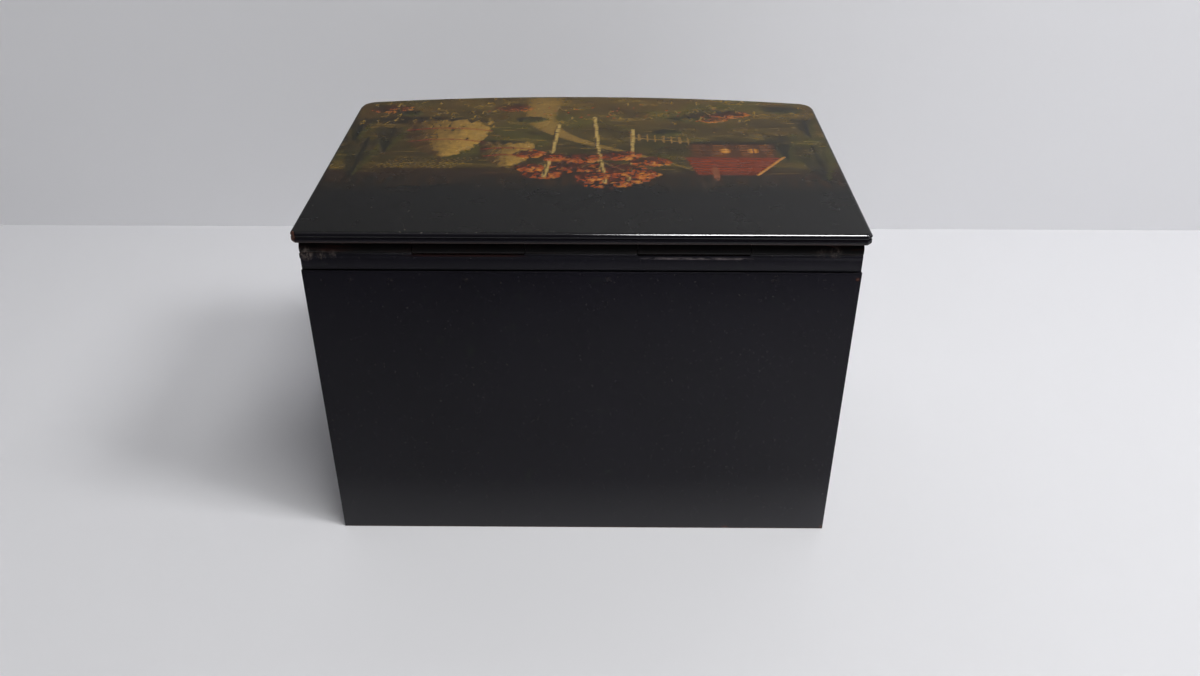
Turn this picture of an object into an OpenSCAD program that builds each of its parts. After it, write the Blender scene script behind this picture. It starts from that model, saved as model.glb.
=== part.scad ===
// Lacquered papier-mache casket with a bowed front, a flat moulded lid,
// a five-knuckle hinge along the whole back and a hook lock in the front wall.
// Origin at the middle of the base. The front faces -Y and the hinge is at +Y.

/* [Box] */
// Outer width of the walls
body_w = 220; // [190:1:250]
// Depth of the sides, from the back face to the front corners
body_d = 141.4; // [120:0.1:170]
// Height of the walls
body_h = 147; // [120:1:175]
// How far the front swells past its corners
front_bow = 9.5; // [5:0.5:14]
// Radius of the two front corners in plan
corner_r = 6; // [4:0.5:8]
// Radius of the inner front corners in plan
inner_corner_r = 3; // [2:0.5:5]
// Thickness of the wound walls
wall_t = 7; // [6.8:0.1:9]
// Thickness of the bottom panel
bottom_t = 5; // [4:0.5:8]
// Width of the rebate that the bottom panel is glued into
bottom_rebate = 3; // [2:0.5:4]

/* [Lid] */
// Thickness of the lid plate
lid_t = 4.4; // [4:0.1:6]
// How far the lid stands past the sides and the front
lid_overhang = 1.8; // [1.2:0.1:3]
// How far the lid stands past the back face
back_overhang = 2; // [1.2:0.1:2.4]
// Height of the plain fillet at the lid's lower edge
fillet_h = 2.1; // [1.6:0.1:2.4]
// Height of the groove above the fillet
quirk_h = 0.4; // [0.3:0.1:0.6]
// Depth of the groove above the fillet
quirk_d = 0.5; // [0.3:0.1:0.8]
// Radius of the rounded upper edge
bead_r = 1.4; // [0.8:0.1:1.5]
// Gap between the walls' top edge and the lid
lid_gap = 0.3; // [0.2:0.1:0.5]

/* [Lips under the lid] */
// How far the lips drop into the mouth of the box
lip_h = 5; // [4:0.5:8]
// Thickness of the lips
lip_t = 4.5; // [3:0.5:6]
// Clearance between the lips and the walls
lip_fit = 0.5; // [0.3:0.1:1]
// Distance from the side lips' ends to the hinge barrel
lip_end_gap = 2.8; // [2:0.1:6]

/* [Hinge] */
// Radius of the hinge barrel
barrel_r = 3.2; // [3:0.1:3.4]
// How far the barrel stands proud of the back face
barrel_proud = 0.2; // [0.1:0.05:0.3]
// Gap between the barrel and what turns past it
barrel_gap = 0.4; // [0.3:0.05:0.6]
// Distance from the barrel's ends to the side faces
hinge_inset = 0.6; // [0.4:0.1:2]
// Number of knuckles, an odd number
knuckles = 5; // [3:2:7]
// Gap between neighbouring knuckles
knuckle_gap = 0.3; // [0.2:0.05:0.5]
// Radius of the hinge pin
pin_r = 1; // [0.8:0.1:1.4]
// Radial clearance of the pin in the lid's knuckles
pin_fit = 0.05; // [0.02:0.01:0.1]
// Distance from the pin's ends to the barrel's ends
pin_inset = 0.8; // [0.4:0.1:2]
// Thickness of the two tin leaves
leaf_t = 0.8; // [0.6:0.1:1]
// Depth that the box's leaf is let into the back wall
leaf_depth = 14; // [12:1:20]
// Width of the lid's leaf, from front to back
lid_leaf_d = 14; // [10:1:20]
// Height of the cover strip below the barrel
strip_h = 5.9; // [4:0.1:7]
// Depth of the rebate that the cover strip lies in
strip_seat = 1.9; // [1.5:0.1:2]
// How far the middle of the cover strip stands proud
strip_proud = 0.25; // [0.1:0.05:0.3]
// Depth of the leaf nails below the barrel's ledge
nail_drop = 9.9; // [8:0.1:11]
// Radius of the leaf nails
nail_r = 0.7; // [0.5:0.1:0.9]
// Radius of the leaf nails' heads
nail_head_r = 1.1; // [1:0.1:1.5]
// Thickness of the leaf nails' heads
nail_head_t = 0.4; // [0.3:0.1:0.6]
// Length of the nails through the back wall
wall_nail_l = 5.4; // [5:0.1:6]
// Length of the nails into the lid
lid_nail_l = 3.4; // [3:0.1:3.6]

/* [Lock] */
// Width of the lock plate
lock_w = 60; // [58:1:70]
// Height of the lock plate
lock_h = 38; // [38:1:46]
// Thickness of the lock plate and its flange
lock_plate_t = 1.2; // [1:0.1:1.3]
// Width of the lock case
case_w = 46; // [45:1:47]
// Height of the lock case below the flange
case_h = 33; // [33:1:36]
// Thickness of the lock case's sheet
case_t = 0.8; // [0.6:0.1:0.9]
// Depth of the space for the works
works_d = 3; // [2.8:0.1:3.1]
// Thickness of the bolt and of the hook
bolt_t = 2; // [1.8:0.1:2.2]
// Travel of the bolt
bolt_travel = 4.5; // [4:0.1:4.6]
// Gap around the moving pieces of the lock
lock_gap = 0.4; // [0.3:0.05:0.45]
// Depth of the keyhole's centre below the walls' top edge
key_drop = 25.2; // [25:0.1:26]
// Radius of the keyhole's round part
keyhole_r = 1.9; // [1.7:0.1:2]
// Width of the keyhole's slot
keyhole_w = 2; // [1.4:0.1:2.4]
// Length of the keyhole below its centre
keyhole_l = 5.8; // [5:0.1:6]
// Radius of the pin that the key turns on
key_pin_r = 1; // [0.8:0.1:1.1]
// Radius of the studs that guide the bolt
stud_r = 1.2; // [1:0.1:1.4]
// Radius of the lock screws
screw_r = 1.1; // [0.9:0.1:1.2]
// Radius of the screws' heads
screw_head_r = 2; // [1.8:0.1:2.2]
// Length of the lock screws
lock_screw_l = 4.6; // [4:0.1:5]

/* [Hook plate] */
// Width of the plate that carries the hook
hook_plate_w = 44; // [40:1:48]
// Depth of the plate that carries the hook
hook_plate_d = 6; // [5.5:0.1:6.2]
// Thickness of the plate that carries the hook
hook_plate_t = 1.2; // [1:0.1:1.5]
// Length of the hook below the lid
hook_l = 11.5; // [11:0.1:12]
// Width of the hook's shank
hook_w = 4; // [3:0.1:4]
// Length of the hook's nose
hook_nose = 4; // [3:0.1:4]
// Height of the hook's nose
hook_nose_h = 3; // [2.5:0.1:3.2]
// Length of the hook plate's screws
hook_screw_l = 3.4; // [3:0.1:3.6]

/* [Escutcheon] */
// Width of the keyhole escutcheon
plate_w = 16; // [13:0.5:20]
// Height of the keyhole escutcheon
plate_h = 24; // [21:0.5:28]
// Thickness of the keyhole escutcheon
plate_t = 0.8; // [0.6:0.1:1]
// Depth that the escutcheon is let into the wall
plate_sunk = 0.3; // [0.2:0.05:0.4]
// Radius of the escutcheon's pins
plate_pin_r = 0.6; // [0.4:0.1:0.8]
// Length of the escutcheon's pins
plate_pin_l = 1.6; // [1.3:0.1:1.8]

/* [Hidden] */
$fn = 48;
bow_fn = 720;
cut = 1;

lacquer = "#1b1a1d";
cinnabar = "#4a1a12";
tin = "#2a2829";
steel = "#8b8a86";
iron = "#5d5a56";
brass = "#a8873f";

lid_under = body_h + lid_gap;
lid_top = lid_under + lid_t;
lid_d = body_d + front_bow + lid_overhang + back_overhang;
back_y = lid_d / 2 - back_overhang;
bow_tip_y = lid_overhang - lid_d / 2;
bow_radius = (pow(body_w / 2, 2) + pow(front_bow, 2)) / (2 * front_bow);
bow_centre_y = bow_tip_y + bow_radius;
bead_steps = 6;

axis_y = back_y + barrel_proud - barrel_r;
axis_z = lid_under - barrel_gap - barrel_r;
ledge_z = axis_z - barrel_r - barrel_gap;
hinge_w = body_w - 2 * hinge_inset;
knuckle_w = (hinge_w - (knuckles - 1) * knuckle_gap) / knuckles;
knuckle_pitch = knuckle_w + knuckle_gap;
strip_base_z = ledge_z - strip_h;
nail_z = ledge_z - nail_drop;
// Places of the nails through the back wall, as shares of the half width
nail_shares = [-0.84, -0.69, -0.42, -0.09, 0.09, 0.42, 0.69, 0.84];
lid_leaf_front_y = axis_y - lid_leaf_d;
lid_leaf_clear_y = axis_y - barrel_r - 3 * barrel_gap;
lid_nail_count = 6;
lid_leaf_w = (knuckles - 2) * knuckle_pitch - knuckle_gap;

lip_inset = wall_t + lip_fit;
lip_split_y = bow_tip_y + front_bow + lip_inset + lip_t;
lip_end_y = axis_y - barrel_r - lip_end_gap;

lock_face_y = bow_tip_y + wall_t;
plate_front_y = lock_face_y - lock_plate_t;
works_y = plate_front_y - works_d;
case_front_y = works_y - case_t;
works_mid_y = works_y + works_d / 2;
flange_z = body_h - lock_plate_t;
case_base_z = flange_z - case_h;
key_z = body_h - key_drop;
key_pin_l = works_d + case_t + 0.4;
hook_base_z = lid_under - hook_l;
hook_nose_x = hook_w / 2 + hook_nose;
slot_x = -hook_w / 2 - lock_gap;
slot_w = hook_w + hook_nose + 2 * lock_gap;

bolt_nose_z = hook_base_z + hook_nose_h + lock_gap;
bolt_nose_h = 3;
bolt_nose_x = hook_nose_x + 2.2 * lock_gap;
arm_x = hook_nose_x + lock_gap + bolt_travel;
arm_w = 4.5;
bar_z = key_z + 4.2;
bar_h = 6;
bar_left_x = -case_w / 2 + case_t + lock_gap + bolt_travel + 1;
bar_right_x = case_w / 2 - case_t - 1.7;
stud_z = bar_z + bar_h / 2;
stud_left_x = bar_left_x + 4.5;
stud_right_x = bar_right_x - bolt_travel - 3;
stud_fit = 0.1;
talon_w = 5;
talon_h = 2.2;
spring_t = 0.4;
spring_chord = 14;
spring_rise = 3.2;
spring_radius = (pow(spring_chord / 2, 2) + pow(spring_rise, 2)) / (2 * spring_rise);
spring_foot = 3;
spring_mid_x = bar_left_x + spring_foot + spring_chord / 2;
spring_top_z = bar_z + bar_h + spring_rise;
spring_stud_r = 1;
spring_stud_x = spring_mid_x - bolt_travel / 2;
screw_x = (lock_w + case_w) / 4;
screw_drop = 7;
hook_screw_x = hook_plate_w / 2 - 5;
plate_back_y = bow_tip_y + plate_sunk;
plate_front_face_y = plate_back_y - plate_t;
plate_pin_reach = plate_h / 2 - 2.4;
plate_z = key_z - keyhole_l / 2 + keyhole_r / 2;

// Plan of the box, moved in by inset at the front and sides and by back_inset at the back
module plan(inset, corner, back_inset) {
    half_w = body_w / 2 - inset;
    bow_in = bow_radius - inset;
    corner_x = half_w - corner;
    corner_y = bow_centre_y - sqrt(pow(bow_in - corner, 2) - pow(corner_x, 2));
    touch_x = corner_x * bow_in / (bow_in - corner);
    front_y = bow_centre_y - bow_in;
    end_y = back_y - back_inset;
    intersection() {
        translate([0, bow_centre_y]) circle(r = bow_in, $fn = bow_fn);
        translate([-touch_x, front_y - cut]) square([2 * touch_x, end_y - front_y + cut]);
    }
    translate([-half_w, corner_y]) square([2 * half_w, end_y - corner_y]);
    for (side = [-1, 1]) translate([side * corner_x, corner_y]) circle(r = corner);
}

// Solid of the plan between two heights
module slab(z0, z1, inset, corner, back_inset) {
    translate([0, 0, z0]) linear_extrude(z1 - z0) plan(inset, corner, back_inset);
}

// Block between two corners
module block(low, high) {
    translate(low) cube(high - low);
}

// Rod along X on the hinge axis
module axis_rod(x0, length, r) {
    translate([x0, axis_y, axis_z]) rotate([0, 90, 0]) cylinder(r = r, h = length);
}

// Rod along -Y from a face at y
module front_rod(x, y, z, r, length) {
    translate([x, y, z]) rotate([90, 0, 0]) cylinder(r = r, h = length);
}

// Flat-headed nail along -Y with its head's face at y
module wall_nail(x, y, z) {
    front_rod(x, y, z, nail_head_r, nail_head_t);
    front_rod(x, y, z, nail_r, wall_nail_l);
}

// Countersunk screw pointing along -Y with its head's face at y
module wall_screw(x, y, z, length) {
    translate([x, y, z]) rotate([90, 0, 0]) countersunk_screw(length);
}

// Countersunk screw along +Z with its head's face at the origin
module countersunk_screw(length) {
    cylinder(r1 = screw_head_r, r2 = screw_r, h = screw_head_r - screw_r);
    cylinder(r = screw_r, h = length);
}

// Outline of the keyhole, looking along Y
module keyhole_outline() {
    circle(r = keyhole_r);
    translate([-keyhole_w / 2, -keyhole_l]) square([keyhole_w, keyhole_l]);
}

// Keyhole cut from y0 back to y1
module keyhole(y0, y1) {
    translate([0, y1, key_z]) rotate([90, 0, 0]) linear_extrude(y1 - y0) keyhole_outline();
}

module body_nails_cut() {
    for (share = nail_shares) wall_nail(share * body_w / 2, back_y, nail_z);
}

// Space that the lock fills in the front wall
module lock_seat() {
    block([-lock_w / 2, plate_front_y, body_h - lock_h], [lock_w / 2, lock_face_y + front_bow, body_h + cut]);
    block([-case_w / 2, case_front_y, case_base_z], [case_w / 2, lock_face_y, body_h + cut]);
    block([-lock_w / 2, case_front_y, flange_z], [lock_w / 2, lock_face_y, body_h + cut]);
}

// Space along the back wall's top that the barrel, the leaf and the cover strip fill
module hinge_seat() {
    block([-body_w / 2 - cut, back_y - wall_t, ledge_z], [body_w / 2 + cut, back_y + cut, body_h + cut]);
    block([-body_w / 2 - cut, back_y - strip_seat, strip_base_z], [body_w / 2 + cut, back_y + cut, body_h]);
    block(
        [-hinge_w / 2, axis_y - leaf_t / 2, ledge_z - leaf_depth],
        [hinge_w / 2, axis_y + leaf_t / 2, body_h]
    );
}

module lock_screw_rods() {
    for (x = [-screw_x, screw_x]) for (z = [body_h - screw_drop, body_h - lock_h + screw_drop / 2])
        wall_screw(x, lock_face_y, z, lock_screw_l);
}

module escutcheon_pin_rods() {
    for (side = [-1, 1])
        front_rod(0, plate_front_face_y + plate_pin_l, plate_z + side * plate_pin_reach, plate_pin_r, plate_pin_l);
}

// Outline of the escutcheon: a lozenge with rounded shoulders
module escutcheon_outline() {
    intersection() {
        translate([plate_h / 2 - plate_w / 2, 0]) circle(r = plate_h / 2);
        translate([plate_w / 2 - plate_h / 2, 0]) circle(r = plate_h / 2);
        square([plate_w, plate_h - 2], center = true);
    }
}

module escutcheon_block(y0, y1) {
    translate([0, y1, plate_z]) rotate([90, 0, 0]) linear_extrude(y1 - y0) escutcheon_outline();
}

// Four walls wound in one piece of papier-mache
module body_walls() {
    color(lacquer) difference() {
        slab(0, body_h, 0, corner_r, 0);
        slab(-cut, body_h + cut, wall_t, inner_corner_r, wall_t);
        slab(-cut, bottom_t, wall_t - bottom_rebate, inner_corner_r, wall_t - bottom_rebate);
        hinge_seat();
        body_nails_cut();
        lock_seat();
        lock_screw_rods();
        keyhole(bow_tip_y - cut, lock_face_y);
        escutcheon_block(bow_tip_y - cut, plate_back_y);
        escutcheon_pin_rods();
    }
}

// Flat panel glued into the walls' rebate, level with their foot
module bottom_panel() {
    color(lacquer) slab(0, bottom_t, wall_t - bottom_rebate, inner_corner_r, wall_t - bottom_rebate);
}

// Layer of the lid, drawn in from its widest outline
module lid_layer(z0, z1, inset) {
    slab(z0, z1, inset - lid_overhang, corner_r + lid_overhang - inset, inset - back_overhang);
}

// Plate with a fillet, a groove and a rounded upper edge
module lid_plate() {
    bead_z = lid_top - bead_r;
    color(lacquer) difference() {
        union() {
            lid_layer(lid_under, lid_under + fillet_h, 0);
            lid_layer(lid_under, bead_z, quirk_d);
            lid_layer(lid_under + fillet_h + quirk_h, bead_z, 0);
            for (i = [0 : bead_steps - 1])
                lid_layer(
                    bead_z - 0.01 + bead_r * sin(90 * i / bead_steps),
                    bead_z + bead_r * sin(90 * (i + 1) / bead_steps),
                    bead_r * (1 - cos(90 * (i + 0.5) / bead_steps))
                );
        }
        hook_plate_seat();
        hook_screw_rods();
        lid_nail_rods();
    }
}

// Part of the band that runs inside the side walls and the front wall, under the lid
module lip(x0, x1, y0, y1) {
    intersection() {
        difference() {
            slab(lid_under - lip_h, lid_under, lip_inset, inner_corner_r, lip_inset);
            slab(lid_under - lip_h - cut, lid_under + cut, lip_inset + lip_t, inner_corner_r, 0);
        }
        block([x0, y0, lid_under - lip_h], [x1, y1, lid_under]);
    }
}

module lid_lip_front() {
    color(cinnabar) lip(-body_w / 2, body_w / 2, bow_tip_y, lip_split_y);
}

module lid_lip_left() {
    color(cinnabar) lip(-body_w / 2, 0, lip_split_y, lip_end_y);
}

module lid_lip_right() {
    color(cinnabar) lip(0, body_w / 2, lip_split_y, lip_end_y);
}

// Every second knuckle, from the one numbered first
module knuckle_row(first, bore_r) {
    for (i = [first : 2 : knuckles - 1]) difference() {
        axis_rod(-hinge_w / 2 + i * knuckle_pitch, knuckle_w, barrel_r);
        axis_rod(-hinge_w / 2 + i * knuckle_pitch - cut, knuckle_w + 2 * cut, bore_r);
    }
}

// Tin leaf let into a slot in the back wall, with the outer and middle knuckles
module hinge_leaf_body() {
    leaf_top_z = axis_z - (barrel_r + pin_r) / 2;
    color(tin) difference() {
        union() {
            knuckle_row(0, pin_r);
            block(
                [-hinge_w / 2, axis_y - leaf_t / 2, ledge_z - leaf_depth],
                [hinge_w / 2, axis_y + leaf_t / 2, ledge_z]
            );
            for (i = [0 : 2 : knuckles - 1])
                block(
                    [-hinge_w / 2 + i * knuckle_pitch, axis_y - leaf_t / 2, ledge_z],
                    [-hinge_w / 2 + i * knuckle_pitch + knuckle_w, axis_y + leaf_t / 2, leaf_top_z]
                );
        }
        body_nails_cut();
    }
}

// Tin leaf nailed under the lid, with the knuckles between
module hinge_leaf_lid() {
    color(tin) difference() {
        union() {
            knuckle_row(1, pin_r + pin_fit);
            block(
                [-lid_leaf_w / 2, lid_leaf_front_y, lid_under - leaf_t],
                [lid_leaf_w / 2, lid_leaf_clear_y, lid_under]
            );
            for (i = [1 : 2 : knuckles - 1])
                block(
                    [-hinge_w / 2 + i * knuckle_pitch, lid_leaf_clear_y, lid_under - leaf_t],
                    [-hinge_w / 2 + i * knuckle_pitch + knuckle_w, axis_y, lid_under]
                );
        }
        lid_nail_rods();
    }
}

module hinge_pin() {
    color(steel) axis_rod(-hinge_w / 2 + pin_inset, hinge_w - 2 * pin_inset, pin_r);
}

// Lacquered strip over the leaf, slightly rounded, glued into the wall's rebate
module hinge_cover_strip() {
    crown_r = (pow(strip_h / 2, 2) + pow(strip_proud, 2)) / (2 * strip_proud);
    color(lacquer) translate([-hinge_w / 2, back_y, strip_base_z + strip_h / 2])
        rotate([90, 0, 90]) linear_extrude(hinge_w) intersection() {
            translate([strip_proud - crown_r, 0]) circle(r = crown_r, $fn = bow_fn / 2);
            translate([-strip_seat, -strip_h / 2]) square([strip_seat + strip_proud, strip_h]);
        }
}

module body_leaf_nails() {
    color(iron) body_nails_cut();
}

module lid_nail_rods() {
    for (i = [0 : lid_nail_count - 1]) {
        x = lid_leaf_w * ((i + 0.5) / lid_nail_count - 0.5);
        translate([x, (lid_leaf_front_y + lid_leaf_clear_y) / 2, lid_under - leaf_t]) {
            cylinder(r = nail_head_r, h = nail_head_t);
            cylinder(r = nail_r, h = lid_nail_l);
        }
    }
}

module lid_leaf_nails() {
    color(iron) lid_nail_rods();
}

// Brass plate inside the front wall, with a flange over the wall's top edge
module lock_plate() {
    color(brass) difference() {
        union() {
            block([-lock_w / 2, plate_front_y, body_h - lock_h], [lock_w / 2, lock_face_y, body_h]);
            block([-lock_w / 2, case_front_y, flange_z], [lock_w / 2, lock_face_y, body_h]);
        }
        block([slot_x, works_y, flange_z - cut], [slot_x + slot_w, plate_front_y, body_h + cut]);
        lock_screw_rods();
    }
}

// Open box of sheet brass that closes the works towards the front
module lock_case() {
    color(brass) difference() {
        block([-case_w / 2, case_front_y, case_base_z], [case_w / 2, plate_front_y, flange_z]);
        block(
            [-case_w / 2 + case_t, works_y, case_base_z + case_t],
            [case_w / 2 - case_t, plate_front_y + cut, flange_z + cut]
        );
        keyhole(case_front_y - cut, works_y + cut);
    }
}

// Studs between the plate and the case: two guide the bolt and one bears on its spring
module lock_studs() {
    color(brass) {
        for (x = [stud_left_x, stud_right_x]) front_rod(x, plate_front_y, stud_z, stud_r, works_d);
        front_rod(
            spring_stud_x, plate_front_y, spring_top_z + spring_t + spring_stud_r + stud_fit,
            spring_stud_r, works_d
        );
    }
}

// Pin that the hollow key turns on
module key_pin() {
    color(steel) front_rod(0, plate_front_y, key_z, key_pin_r, key_pin_l);
}

// Slot in the bolt that a guide stud stands in
module stud_slot(x) {
    r = stud_r + stud_fit;
    translate([x, stud_z]) circle(r = r);
    translate([x + bolt_travel, stud_z]) circle(r = r);
    translate([x, stud_z - r]) square([bolt_travel, 2 * r]);
}

// Bar with an arm and a nose that slides over the hook's nose, drawn back
module lock_bolt() {
    color(brass) translate([0, works_mid_y + bolt_t / 2, 0]) rotate([90, 0, 0]) linear_extrude(bolt_t)
        difference() {
            union() {
                translate([bar_left_x, bar_z]) square([bar_right_x - bar_left_x, bar_h]);
                translate([arm_x, bar_z]) square([arm_w, bolt_nose_z + bolt_nose_h - bar_z]);
                translate([bolt_nose_x, bolt_nose_z]) square([arm_x + arm_w - bolt_nose_x, bolt_nose_h]);
            }
            stud_slot(stud_left_x);
            stud_slot(stud_right_x);
            translate([bolt_travel / 2 - talon_w / 2, bar_z - cut]) square([talon_w, talon_h + cut]);
        }
}

// Bowed strip riveted to the bolt's upper edge
module bolt_spring() {
    base_z = bar_z + bar_h;
    color(steel) translate([0, works_mid_y + bolt_t / 2, 0]) rotate([90, 0, 0]) linear_extrude(bolt_t) {
        intersection() {
            difference() {
                translate([spring_mid_x, spring_top_z + spring_t - spring_radius - spring_t])
                    circle(r = spring_radius + spring_t);
                translate([spring_mid_x, spring_top_z - spring_radius]) circle(r = spring_radius);
            }
            translate([spring_mid_x - spring_chord, base_z]) square([2 * spring_chord, 2 * spring_rise]);
        }
        translate([bar_left_x, base_z]) square([spring_foot + spring_t, spring_t]);
    }
}

module lock_screws() {
    color(brass) lock_screw_rods();
}

// Space for the hook plate in the underside of the lid
module hook_plate_seat() {
    block(
        [-hook_plate_w / 2, works_mid_y - hook_plate_d / 2, lid_under - cut],
        [hook_plate_w / 2, works_mid_y + hook_plate_d / 2, lid_under + hook_plate_t]
    );
}

module hook_screw_rods() {
    for (x = [-hook_screw_x, hook_screw_x])
        translate([x, works_mid_y, lid_under]) countersunk_screw(hook_screw_l);
}

// Brass plate let into the lid, with a hook that drops into the lock
module hook_plate() {
    color(brass) difference() {
        union() {
            block(
                [-hook_plate_w / 2, works_mid_y - hook_plate_d / 2, lid_under],
                [hook_plate_w / 2, works_mid_y + hook_plate_d / 2, lid_under + hook_plate_t]
            );
            block(
                [-hook_w / 2, works_mid_y - bolt_t / 2, hook_base_z],
                [hook_w / 2, works_mid_y + bolt_t / 2, lid_under + hook_plate_t / 2]
            );
            block(
                [-hook_w / 2, works_mid_y - bolt_t / 2, hook_base_z],
                [hook_nose_x, works_mid_y + bolt_t / 2, hook_base_z + hook_nose_h]
            );
        }
        hook_screw_rods();
    }
}

module hook_plate_screws() {
    color(brass) hook_screw_rods();
}

// Brass keyhole plate on the bowed front
module keyhole_escutcheon() {
    color(brass) difference() {
        escutcheon_block(plate_front_face_y, plate_back_y);
        keyhole(plate_front_face_y - cut, plate_back_y + cut);
        escutcheon_pin_rods();
    }
}

module escutcheon_pins() {
    color(brass) escutcheon_pin_rods();
}

body_walls();
bottom_panel();
lid_plate();
lid_lip_front();
lid_lip_left();
lid_lip_right();
hinge_leaf_body();
hinge_leaf_lid();
hinge_pin();
hinge_cover_strip();
body_leaf_nails();
lid_leaf_nails();
lock_plate();
lock_case();
lock_studs();
key_pin();
lock_bolt();
bolt_spring();
lock_screws();
hook_plate();
hook_plate_screws();
keyhole_escutcheon();
escutcheon_pins();
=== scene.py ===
from math import asin, cos, pi, radians, sin, sqrt, tan

import bpy
import numpy as np
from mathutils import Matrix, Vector


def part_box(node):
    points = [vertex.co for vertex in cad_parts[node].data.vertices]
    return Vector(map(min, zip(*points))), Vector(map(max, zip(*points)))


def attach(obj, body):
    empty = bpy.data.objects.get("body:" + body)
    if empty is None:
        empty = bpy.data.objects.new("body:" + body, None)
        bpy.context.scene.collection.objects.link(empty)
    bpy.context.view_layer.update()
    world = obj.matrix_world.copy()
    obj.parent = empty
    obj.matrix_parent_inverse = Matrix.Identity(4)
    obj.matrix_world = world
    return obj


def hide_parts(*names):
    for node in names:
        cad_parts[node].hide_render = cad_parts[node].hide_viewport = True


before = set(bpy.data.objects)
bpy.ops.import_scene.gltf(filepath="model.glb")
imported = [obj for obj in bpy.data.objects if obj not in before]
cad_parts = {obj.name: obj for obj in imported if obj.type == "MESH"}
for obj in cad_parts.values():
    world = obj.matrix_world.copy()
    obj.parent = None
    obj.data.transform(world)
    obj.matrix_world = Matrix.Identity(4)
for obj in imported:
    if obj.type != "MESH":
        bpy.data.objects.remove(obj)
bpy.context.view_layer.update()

# The walls: one piece of papier-mache, wound on a former with a bowed front, lacquered black
# outside and dark red inside. The edges were rounded by rubbing down between the coats. The back is
# cut away for the hinge and the front for the lock. All sizes are metres.
walls_low, walls_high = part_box("body_walls")
panel_low, panel_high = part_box("bottom_panel")
strip_low, strip_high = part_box("hinge_cover_strip")
leaf_low, leaf_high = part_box("hinge_leaf_body")
plate_low, plate_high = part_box("lock_plate")
case_low, case_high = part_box("lock_case")
WALL = 0.007
BOW = 0.0095
BOW_CUTS = 29
LEAF_SEAT = (0.0034, 0.0026)
FLANGE_D = 0.0038
CORNER_R = 0.006
INNER_CORNER_R = 0.003
EDGE_R = 0.0006
half_w = walls_high.x
back_y = walls_high.y
bow_radius = (half_w**2 + BOW**2) / (2 * BOW)
bow_centre_y = walls_low.y + bow_radius
ledge_z = strip_high.z
PAST = 0.002


def deselect():
    """Leaves edit mode with nothing selected."""
    if bpy.context.object and bpy.context.object.mode != "OBJECT":
        bpy.ops.object.mode_set(mode="OBJECT")
    bpy.ops.object.select_all(action="DESELECT")


def added(name):
    """Names the primitive just added, with its size and place moved into its mesh."""
    made = bpy.context.object
    made.name = name
    bpy.ops.object.transform_apply(location=True, rotation=True, scale=True)
    return made


def block(name, low, high):
    """A cube primitive between two corners."""
    deselect()
    low, high = Vector(low), Vector(high)
    bpy.ops.mesh.primitive_cube_add(size=1, location=(low + high) / 2, scale=high - low)
    return added(name)


def pick(piece, kind, test):
    """Opens the piece in edit mode with only the chosen vertices, edges or faces selected.
    test takes the vertices' places and, for a face, its normal."""
    deselect()
    piece.select_set(True)
    bpy.context.view_layer.objects.active = piece
    bpy.ops.object.mode_set(mode="EDIT")
    bpy.ops.mesh.select_mode(type=kind)
    bpy.ops.mesh.select_all(action="DESELECT")
    bpy.ops.object.mode_set(mode="OBJECT")
    mesh = piece.data
    place = [v.co.copy() for v in mesh.vertices]
    if kind == "VERT":
        for v in mesh.vertices:
            v.select = test(v.co)
    if kind == "EDGE":
        for e in mesh.edges:
            e.select = test([place[i] for i in e.vertices])
    if kind == "FACE":
        for f in mesh.polygons:
            f.select = test([place[i] for i in f.vertices], f.normal)
    bpy.ops.object.mode_set(mode="EDIT")


def modify(piece, kind, **settings):
    """Adds one modifier with its settings and applies it."""
    deselect()
    piece.select_set(True)
    bpy.context.view_layer.objects.active = piece
    made = piece.modifiers.new(kind.title(), kind)
    for key, value in settings.items():
        setattr(made, key, value)
    bpy.ops.object.modifier_apply(modifier=made.name)


def cut(piece, cutter):
    """Cuts one solid out of another and deletes the cutter."""
    modify(
        piece, "BOOLEAN", operation="DIFFERENCE", object=cutter, solver="EXACT", material_mode="TRANSFER"
    )
    bpy.data.objects.remove(cutter)


def near(a, b):
    """The same place, to a thousandth of a millimetre."""
    return abs(a - b) < 1e-6


def bow_y(x, inset):
    """Front edge of the plan, moved in by inset."""
    return bow_centre_y - sqrt((bow_radius - inset) ** 2 - x * x)


def bowed_block(name, inset, corner_r, back, low_z, high_z):
    """A solid with the box's plan, moved in by inset: a cube whose front is cut into strips,
    moved onto the bow and rounded at its two upright corners."""
    half = half_w - inset
    front = bow_y(half, inset)
    solid = block(name, (-half, front, low_z), (half, back, high_z))
    pick(solid, "EDGE", lambda ends: all(near(p.y, front) for p in ends) and near(ends[0].z, ends[1].z))
    bpy.ops.mesh.subdivide(number_cuts=BOW_CUTS)
    bpy.ops.object.mode_set(mode="OBJECT")
    for v in solid.data.vertices:
        if near(v.co.y, front):
            v.co.y = bow_y(v.co.x, inset)
    slope = asin(half / (bow_radius - inset))
    reach = corner_r / tan((pi / 2 + slope) / 2)
    pick(solid, "EDGE", lambda ends: all(near(abs(p.x), half) and near(p.y, front) for p in ends))
    bpy.ops.mesh.bevel(offset=reach, segments=8, affect="EDGES", clamp_overlap=False)
    bpy.ops.mesh.select_all(action="SELECT")
    bpy.ops.mesh.normals_make_consistent(inside=False)
    bpy.ops.object.mode_set(mode="OBJECT")
    return solid


def rounded(piece, radius, angle=35, segments=3):
    """Rounds the sharp edges and shades the rest smooth."""
    modify(
        piece, "BEVEL", width=radius, segments=segments, limit_method="ANGLE",
        angle_limit=radians(angle), use_clamp_overlap=True,
    )
    bpy.ops.object.shade_smooth_by_angle(angle=radians(angle))


def linear(hex_colour):
    """The linear colour of an sRGB hex value."""
    parts = [int(hex_colour[i : i + 2], 16) / 255 for i in (1, 3, 5)]
    return [p / 12.92 if p <= 0.04045 else ((p + 0.055) / 1.055) ** 2.4 for p in parts] + [1.0]


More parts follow.
